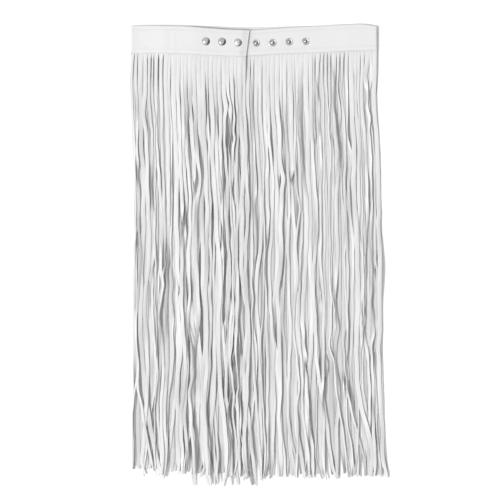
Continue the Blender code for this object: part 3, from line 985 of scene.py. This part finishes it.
def cut_strands(fringe, draws):
    """The strands as they are cut, side by side, and all that each of them does."""
    count = fringe.strands
    half_pitch = (fringe.last - fringe.first) / (count - 1) / 2
    cuts = np.linspace(fringe.first - half_pitch, fringe.last + half_pitch, count + 1)
    cuts += np.clip(draws.normal(0, CUT_SPREAD, count + 1), -CUT_LIMIT, CUT_LIMIT)
    cuts[0], cuts[-1] = fringe.first - OUTER_HALF, fringe.last + OUTER_HALF
    upper_of = groups(count, UPPER_GROUPS, draws)
    lower_of = groups(count, LOWER_GROUPS, draws)
    uppers = [waves(UPPER_WAVES, draws) for _ in range(count)]
    lowers = [waves(LOWER_WAVES, draws) for _ in range(count)]
    gathers = draw_gathers((cuts[:-1] + cuts[1:]) / 2, draws)
    more_draws = np.random.default_rng(fringe.seed + MORE_SEED)
    strands = []
    for index in range(count):
        root_x = (cuts[index] + cuts[index + 1]) / 2
        top = float(read(fringe.edges, "bottom", root_x))
        hem = np.interp(root_x, *zip(*fringe.hem))
        late = either_way(draws, LATE_LEAN) if draws.uniform() < LATE_SHARE else 0.0
        opening, opens_over = draw_opening(root_x, draws, more_draws)
        lean = draws.normal(0, LEAN_SPREAD)
        if draws.uniform() < STRAY_SHARE:
            lean += STRAY_LEAN * draws.choice((-1, 1))
        sways = waves(SWAY_WAVES, draws)
        kinks = draw_kinks(draws)
        rolls = waves(ROLL_WAVES, draws)
        curls = draw_curls(draws)
        if fringe.edges is not BACK_EDGES:
            for ruffle in RUFFLES:
                if abs(root_x - ruffle.x) < ruffle.width:
                    new_kinks, new_curls = ruffled(ruffle, top, hem, draws)
                    kinks += new_kinks
                    curls += new_curls
                    opening += RUFFLED_OPENING
            for sweep in SWEEPS:
                if abs(root_x - sweep.x) < half_pitch:
                    late = sweep.shift
        twist = None
        if draws.uniform() < TWIST_SHARE:
            twist = (draws.uniform(*TWIST_PLACES), draws.uniform(*TWIST_REACH), draws.choice((-1, 1)))
        hooked = more_draws.uniform() < HOOKED_SHARE
        hook = (hooked * either_way(more_draws, HOOK_SIZE), more_draws.uniform(*HOOK_REACH))
        width = cuts[index + 1] - cuts[index] - SLIT
        strands.append(SimpleNamespace(
            width=width, opening=min(opening, width - NARROWEST), opens_over=opens_over,
            root_x=root_x, root_y=top - HEADING_LIP, hem_y=hem + draws.normal(0, HEM_SPREAD),
            upper=uppers[upper_of[index]], lower=lowers[lower_of[index]], gather=gathers[index],
            lean=lean, late=late, hook=hook, sways=sways, kinks=kinks, rolls=rolls, curls=curls,
            twist=twist, cup=draws.normal(CUP_MEAN, CUP_SPREAD),
            cup_waves=waves(CUP_WAVES, draws), taper=draws.uniform(*TAPER),
            slant=draws.normal(0, END_SLANT), tone=draws.uniform(-1, 1), rim=draws.uniform(*RIM_SHADE),
            rim_waves=waves(RIM_WAVES, more_draws),
        ))
    return strands


def room(y, half):
    """How far left and right a strand's middle may lie."""
    return read(FRINGE_SIDES, "left", y) + half, read(FRINGE_SIDES, "right", y) - half


def lay_out(strand, y, calm):
    """The strand's middle line, its roll and its cup at heights y."""
    down = strand.root_y - y
    length = strand.root_y - strand.hem_y
    t = down / length
    half = strand.width / 2
    left, right = room(y, half)
    root_left, root_right = room(strand.root_y, half)
    share = np.clip((strand.root_x - root_left) / (root_right - root_left), 0, 1)
    from_root = strand.root_x - (root_left + share * (root_right - root_left))
    straight = left + share * (right - left) + from_root
    fade = 1 - UPPER_FADE * ease((t - FADE_FROM) / FADE_OVER)
    shift = ease((down - HOLD) / UPPER_FULL) * fade * add_up(strand.upper, y)
    shift += ease((t - LOWER_FROM) / (LOWER_FULL - LOWER_FROM)) * add_up(strand.lower, y)
    shift += ease((down - HOLD) / SWAY_FULL) * add_up(strand.sways, down)
    shift += strand.lean * t * t
    gathered = np.clip((t - GATHER_FROM) / (1 - GATHER_FROM), 0, 1) ** GATHER_POWER
    shift += (strand.gather + strand.late) * gathered
    for place, reach, size in strand.kinks:
        shift += size * bump(down - place * length, reach)
    size, reach = strand.hook
    shift += size * np.clip((down - length) / reach + 1, 0, 1) ** 2
    x = np.clip(straight + shift * calm, np.minimum(left, straight), np.maximum(right, straight))
    hold = ease((down - HOLD) / HOLD_FULL)
    roll = hold * (ROLL_GROWTH[0] + ROLL_GROWTH[1] * t) * add_up(strand.rolls, down)
    for place, reach, angle in strand.curls:
        roll = roll + hold * angle * bump(down - place * length, reach)
    if strand.twist:
        place, reach, way = strand.twist
        roll = roll + way * math.pi * ease((down - place * length) / reach + 0.5)
    cup = hold * (CUP_GROWTH[0] + CUP_GROWTH[1] * t) * (strand.cup + add_up(strand.cup_waves, down))
    narrowed = NARROWING * half * ease(down / NARROW_FULL)
    narrowed += strand.opening / 2 * ease(down / strand.opens_over)
    half = half - calm * narrowed
    half = half * (1 - strand.taper * ease((down - length + TAPER_REACH) / TAPER_REACH))
    return x, roll, cup, half


def blurring(count, width):
    """A matrix that blurs values along a strand's stations."""
    places = np.arange(count) * ROW_STEP
    weights = np.exp(-(((places[:, None] - places[None, :]) / width) ** 2) / 2)
    return weights / weights.sum(axis=1, keepdims=True)


class Pile:
    """Heights of the strands laid so far, over a grid."""

    def __init__(self):
        self.rows = np.arange(GRID_TOP, GRID_BOTTOM, -ROW_STEP)
        columns = int((GRID_RIGHT - GRID_LEFT) / COLUMN_STEP)
        self.height = np.zeros((len(self.rows), columns))

    def stations(self, strand):
        """The Y of a strand's stations, and the grid's row for each."""
        below_root = self.rows < strand.root_y - END_MARGIN
        inner = np.flatnonzero(below_root & (self.rows > strand.hem_y + END_MARGIN))
        y = np.concatenate([[strand.root_y], self.rows[inner], [strand.hem_y]])
        return y, np.concatenate([[inner[0]], inner, [inner[-1]]])

    def spots(self, rows, x):
        columns = np.clip(((x - GRID_LEFT) / COLUMN_STEP).astype(int), 0, self.height.shape[1] - 1)
        return rows[:, None] * np.ones(x.shape[1], int), columns

    def lay(self, y, rows, x, roll, cup, half, root_level, root_roll, root_droop):
        """The strand's roll and levels, once it lies on what is below."""
        feel = x[:, None] + half[:, None] * FEELERS * np.cos(roll)[:, None]
        below = self.height[self.spots(rows, feel)]
        middle = len(FEELERS) // 2
        rise = below[:, middle + 1:].max(axis=1) - below[:, :middle].max(axis=1)
        tilt = np.arctan(rise / (LEAN_SPAN * half))
        tilt = blurring(len(y), LEAN_BLUR) @ np.clip(tilt, -LEAN_LIMIT, LEAN_LIMIT)
        down = y[0] - y
        roll = roll + LEAN_SHARE * ease(down / HOLD_FULL) * tilt * np.cos(roll)
        roll = roll + root_roll * (1 - ease(down / ROOT_TURN))
        side, up = section_offsets(FEELERS, roll, cup, half)
        need = self.height[self.spots(rows, x[:, None] + side)] - up
        need = need.max(axis=1) + STRAND_WALL / 2 + LAY_GAP
        lowest = GAP + STRAND_WALL / 2 - up.min(axis=1)
        need = np.maximum(need, lowest)
        need[0] = root_level
        apart = y[:, None] - y[None, :]
        held = np.max(need[None, :] - DROOP * apart * apart, axis=1)
        held = np.maximum(held, root_level - root_droop * down * down)
        level = blurring(len(y), SETTLE_BLUR) @ held
        level = root_level + (level - root_level) * ease(down / ROOT_FREE)
        level = np.maximum(level, np.where(down > ROOT_FREE, lowest, -np.inf))
        return roll, level

    def add(self, rows, x, roll, cup, half, level):
        side, up = section_offsets(PRINTS, roll, cup, half)
        spots = self.spots(rows, x[:, None] + side)
        np.maximum.at(self.height, spots, level[:, None] + up + STRAND_WALL / 2)


def section_offsets(share, roll, cup, half):
    """Sideways and upward offsets of points across the strand, for each station."""
    s = share * half[:, None]
    bowed = -cup[:, None] * share ** 2
    cos, sin = np.cos(roll)[:, None], np.sin(roll)[:, None]
    return s * cos - bowed * sin, s * sin + bowed * cos


class Comb:
    """Gathers the points and faces of one fringe: a heading, and strands cut down from it."""

    def __init__(self, fringe):
        self.fringe = fringe
        self.points = []
        self.tone = []
        self.rim = []
        self.faces = Faces()
        self.roots = []
        self.count = 0

    def add_points(self, points, tone=0.0, rim=0.0):
        """Adds points, in rows of any shape, and gives their numbers in the same shape."""
        numbers = np.arange(points[..., 0].size) + self.count
        self.points.append(points.reshape(-1, 3))
        self.tone.append(np.full(numbers.size, tone))
        self.rim.append(np.resize(rim, numbers.size))
        self.count += numbers.size
        return numbers.reshape(points.shape[:-1])

    def strand(self, strand, y, x, roll, cup, half, level):
        """One strand, with five points at each station on its upper face, and five on its lower one."""
        s = SECTION * half[:, None]
        side, up = section_offsets(SECTION, roll, cup, half)
        at_edge = np.abs(SECTION) > SECTION_EDGE
        thick = STRAND_WALL / 2
        near_root = (1 - ease((y[0] - y) / ROOT_BLEND))[:, None]
        flat_x = x[:, None] + s
        heading = heading_level(self.fringe, flat_x)
        slant = np.zeros_like(y)
        slant[-1] = strand.slant
        at_y = y[:, None] + slant[:, None] * s
        faces = []
        for wall, root_wall in ((thick - SHOULDER * at_edge, thick), (-thick, -thick)):
            at_x = x[:, None] + side - np.sin(roll)[:, None] * wall
            at_z = level[:, None] + up + np.cos(roll)[:, None] * wall
            at_x += near_root * (flat_x - at_x)
            at_z += near_root * (heading + root_wall - at_z)
            faces.append(np.stack([at_x, at_y, at_z], axis=-1))
        # Painted shade along the strand's edges, growing as the strand opens away from its neighbours
        opened = RIM_AT_ROOT + (1 - RIM_AT_ROOT) * ease((y[0] - y) / strand.opens_over)
        opened = opened * np.clip(1 + add_up(strand.rim_waves, y), 0, None)
        rim = strand.rim * opened[:, None] * np.tile(at_edge, 2)
        numbers = self.add_points(np.concatenate(faces, axis=1), strand.tone, rim)
        tops, unders = np.split(numbers, 2, axis=1)
        self.faces.strip(tops, unders)
        self.faces.end(tops[-1], unders[-1])
        self.roots.append((tops[0], unders[0], flat_x[0]))

    def heading(self):
        """The strip behind the band that holds the strands together."""
        roots_top, roots_under, x = (np.concatenate(lines) for lines in zip(*self.roots))
        fringe = self.fringe
        inside = np.interp(x, (x[0], x[-1]), (fringe.tuck_left, fringe.tuck_right))
        edge = read(fringe.edges, "bottom", inside)
        level = heading_level(fringe, inside)
        tops = []
        unders = []
        for above in (HEADING_TUCK, HEADING_TUCK / 2, HEADING_NECK):
            for lines, wall in ((tops, STRAND_WALL / 2), (unders, -STRAND_WALL / 2)):
                lines.append(self.add_points(np.stack([inside, edge + above, level + wall], axis=-1)))
        tops.append(roots_top)
        unders.append(roots_under)
        self.faces.strip(tops, unders)
        self.faces.end(unders[0], tops[0])
        # The heading's lower edge shows between two strands, and has its own wall there
        across = len(SECTION)
        self.faces.end(tops[-1], unders[-1], range(across - 1, len(x) - 1, across))

    def finished(self, finishes):
        self.heading()
        points = np.concatenate(self.points)
        made = mesh_object(f"{self.fringe.name}_strands", points, self.faces, finishes)
        made.data.set_sharp_from_angle(angle=STRAND_SHARP_FROM)
        point_values(made, "tone", np.concatenate(self.tone))
        point_values(made, "rim", np.concatenate(self.rim))
        # Marks the back fringe, whose inner side is darkened: partly its own tone, partly painted shade
        # seen through the gaps
        point_values(made, "inner", np.full(len(points), self.fringe.edges is BACK_EDGES))
        return made


def root_droop(fringe, strand):
    """How fast a strand bends down from its heading to what lies below."""
    if fringe.edges is BACK_EDGES:
        return BACK_DROOP
    over_underlap = fringe.edges is FLAP_EDGES and strand.root_x > UNDERLAP_END
    return LAID_DROOP if over_underlap else FREE_DROOP


def make_fringes(finishes):
    pile = Pile()
    for fringe in FRINGES:
        draws = np.random.default_rng(fringe.seed)
        strands = cut_strands(fringe, draws)
        turns = np.arange(len(strands)) % 2 + draws.uniform(0, TURN_SPREAD, len(strands))
        laid = {}
        calm = BACK_CALM if fringe.edges is BACK_EDGES else 1.0
        for index in np.argsort(turns):
            strand = strands[index]
            y, rows = pile.stations(strand)
            x, roll, cup, half = lay_out(strand, y, calm)
            ends = heading_level(fringe, strand.root_x + half[0] * np.array([-1.0, 1.0]))
            root_roll = math.atan2(ends[1] - ends[0], strand.width)
            root_level = float(np.mean(ends))
            root = (root_level, root_roll, root_droop(fringe, strand))
            roll, level = pile.lay(y, rows, x, roll, cup, half, *root)
            pile.add(rows, x, roll, cup, half, level)
            laid[index] = (y, x, roll, cup, half, level)
        comb = Comb(fringe)
        for index, strand in enumerate(strands):
            last = len(laid[index][0]) - 1
            kept = np.unique(np.append(np.arange(0, last + 1, MESH_EVERY), last))
            comb.strand(strand, *(line[kept] for line in laid[index]))
        piece = comb.finished(finishes)
        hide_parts(fringe.name)


# Floor, light and camera

LENS = 200.0
SENSOR = 36.0
VIEW_WIDTH = 750.0
VIEW_CENTRE = (-15.0, 7.5)
VIEW_LEVEL = 8.0
FLOOR_SIZE = 40.0
FLOOR_COLOR = (0.95, 0.95, 0.95)
FLOOR_SPECKLE = 0.01
FLOOR_ROUGHNESS = 0.9
SUN_FROM = (-1.0, -0.42, 1.7)
SUN_STRENGTH = 1.95
SUN_ANGLE = math.radians(9)
WORLD_BRIGHT = 0.86
WORLD_DIM = 0.05
DIM_SIDE = (0.9, -0.3, -0.2)
DIM_FROM, DIM_TO = 0.12, 0.5


def make_floor():
    made = Nodes("pale_floor")
    speckle = made.noise(40.0)
    lighter = tuple(value + FLOOR_SPECKLE for value in FLOOR_COLOR)
    base = made.mix(made.span(speckle, 0.3, 0.7), FLOOR_COLOR, lighter)
    made.fill((made.shader.inputs["Base Color"], made.shader.inputs["Roughness"]), (base, FLOOR_ROUGHNESS))
    mesh = bpy.data.meshes.new("floor")
    half = FLOOR_SIZE / 2
    corners = [(-half, -half, 0), (half, -half, 0), (half, half, 0), (-half, half, 0)]
    mesh.from_pydata(corners, [], [(0, 1, 2, 3)])
    mesh.materials.append(made.material)
    linked("floor", mesh)


def make_light():
    lamp = bpy.data.lights.new("sun", "SUN")
    lamp.energy = SUN_STRENGTH
    lamp.angle = SUN_ANGLE
    linked("sun", lamp).rotation_euler = Vector(SUN_FROM).to_track_quat("Z", "Y").to_euler()

    world = bpy.data.worlds.new("studio")
    bpy.context.scene.world = world
    world.use_nodes = True
    nodes, links = world.node_tree.nodes, world.node_tree.links
    place = nodes.new("ShaderNodeTexCoord")
    towards = nodes.new("ShaderNodeVectorMath")
    towards.operation = "DOT_PRODUCT"
    towards.inputs[1].default_value = DIM_SIDE
    ramp = nodes.new("ShaderNodeMapRange")
    ramp.interpolation_type = "SMOOTHSTEP"
    for socket, number in zip(ramp.inputs[1:5], (DIM_FROM, DIM_TO, WORLD_BRIGHT, WORLD_DIM)):
        socket.default_value = number
    links.new(place.outputs["Generated"], towards.inputs[0])
    links.new(towards.outputs["Value"], ramp.inputs[0])
    links.new(ramp.outputs[0], nodes["Background"].inputs["Strength"])
    nodes["Background"].inputs["Color"].default_value = (1, 1, 1, 1)


def make_camera():
    data = bpy.data.cameras.new("camera")
    data.lens = LENS
    data.sensor_width = SENSOR
    camera = linked("camera", data)
    x, y = (value + shift for value, shift in zip(VIEW_CENTRE, SHIFT))
    camera.location = (x * MM, y * MM, (VIEW_WIDTH * LENS / SENSOR + VIEW_LEVEL) * MM)
    bpy.context.scene.camera = camera


def main():
    band_face = band_leather()
    band = Band()
    band_piece(band, [band_face, cut_leather("band_cut_edge", (0.612, 0.612, 0.608))])
    thread = thread_finish()
    stitches(band, "stitches_lower", LOWER_ROW, False, thread)
    stitches(band, "stitches_upper", UPPER_ROW, True, thread)
    make_snaps(snap_metal())
    # The fringe's raw cut edges are greyer than its face, and darkened further as painted shade for the
    # lines between the strands
    make_fringes([strand_leather(), cut_leather("fringe_cut_edge", (0.465, 0.465, 0.462))])
    make_floor()
    make_light()
    make_camera()
    bpy.context.scene.view_settings.view_transform = "Standard"


main()
